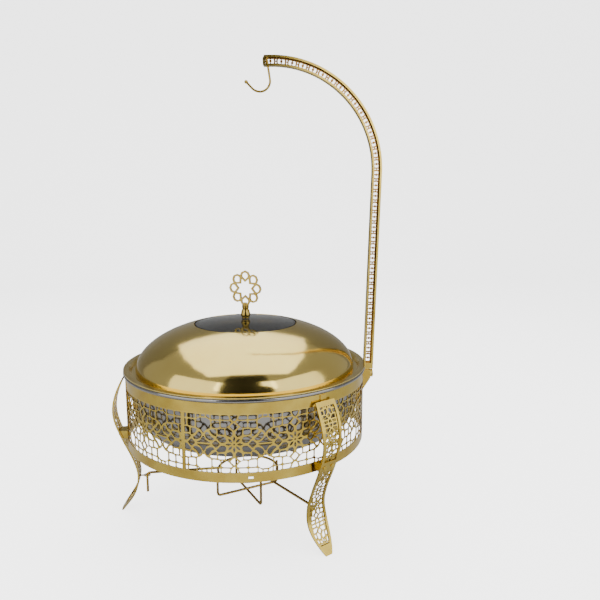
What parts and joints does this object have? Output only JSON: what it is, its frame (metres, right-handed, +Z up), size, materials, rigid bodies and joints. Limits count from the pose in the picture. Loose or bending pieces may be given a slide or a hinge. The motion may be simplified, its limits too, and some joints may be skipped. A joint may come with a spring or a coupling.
{
  "type": "chafing dish food warmer",
  "caption": "Round food warmer: pan and windowed dome lid on a three-legged openwork ring stand with a wire fuel cradle and a hooked arm to hang the lid.",
  "frame": {"origin": "on the table, under the middle of the round pan", "axes": "+Z up; +X towards the lid-hanging arm; one leg points along -X, the other two at 60 degrees each side of +X"},
  "size_m": [0.4272, 0.3798, 0.7055],
  "materials": {
    "plated_gold": "bright gold plating on steel",
    "champagne_gold": "mirror-polished pale gold plating on steel",
    "polished_steel": "mirror-polished stainless steel",
    "steel_fastener": "plain machine screw steel",
    "smoked_glass": "smoke-grey tempered glass",
    "black_rubber": "matt black silicone"
  },
  "bodies": {
    "stand": {"basket_top_band": "plated_gold", "basket_bottom_band": "plated_gold", "filigree_panel_1": "plated_gold", "filigree_panel_2": "plated_gold", "filigree_panel_3": "plated_gold", "seam_strip_1": "plated_gold", "seam_strip_2": "plated_gold", "arm_mount_strip": "plated_gold", "leg_frame_1": "plated_gold", "leg_frame_2": "plated_gold", "leg_frame_3": "plated_gold", "leg_fret_upper_1": "plated_gold", "leg_fret_upper_2": "plated_gold", "leg_fret_upper_3": "plated_gold", "leg_fret_lower_1": "plated_gold", "leg_fret_lower_2": "plated_gold", "leg_fret_lower_3": "plated_gold", "leg_bracket_1": "plated_gold", "leg_bracket_2": "plated_gold", "leg_bracket_3": "plated_gold", "leg_top_clips": "plated_gold", "leg_screws": "steel_fastener", "leg_nuts": "steel_fastener", "stay_eyelets": "plated_gold", "arm_socket": "plated_gold", "socket_screws": "steel_fastener", "socket_nuts": "steel_fastener"},
    "fuel_cradle": {"fuel_hoop": "plated_gold", "fuel_cross_wire_1": "plated_gold", "fuel_cross_wire_2": "plated_gold", "fuel_stay_1": "plated_gold", "fuel_stay_2": "plated_gold", "fuel_stay_3": "plated_gold"},
    "arm": {"arm_foot": "plated_gold", "arm_outer_rail": "plated_gold", "arm_inner_rail": "plated_gold", "arm_fretwork": "plated_gold", "arm_end_cap": "plated_gold", "lid_hook": "plated_gold", "hook_ball": "plated_gold"},
    "thumbscrew": {"clamp_thumbscrew": "plated_gold"},
    "pan": {"food_pan": "polished_steel"},
    "lid": {"lid_shell": "champagne_gold", "lid_window": "smoked_glass", "window_gasket": "black_rubber", "knob_washer_top": "black_rubber", "knob_washer_under": "steel_fastener"},
    "knob": {"knob_screw": "steel_fastener", "knob_base": "plated_gold", "knob_rosette": "plated_gold"}
  },
  "joints": [
    {"name": "pan_lift", "type": "slide", "parent": "stand", "child": "pan", "axis": [0, 0, 1], "range_m": [0, 0.1]},
    {"name": "lid_lift", "type": "slide", "parent": "pan", "child": "lid", "axis": [0, 0, 1], "range_m": [0, 0.16]},
    {"name": "knob_turn", "type": "hinge", "parent": "lid", "child": "knob", "pos_m": [0, 0, 0.306], "axis": [0, 0, 1], "continuous": true},
    {"name": "arm_lift", "type": "slide", "parent": "stand", "child": "arm", "axis": [0.0279, 0, 0.9996], "range_m": [0, 0.045]},
    {"name": "thumbscrew_turn", "type": "hinge", "parent": "stand", "child": "thumbscrew", "pos_m": [0.207, 0, 0.208], "axis": [1, 0, 0], "continuous": true},
    {"name": "cradle_lift", "type": "slide", "parent": "stand", "child": "fuel_cradle", "axis": [0, 0, 1], "range_m": [0, 0.04]}
  ]
}
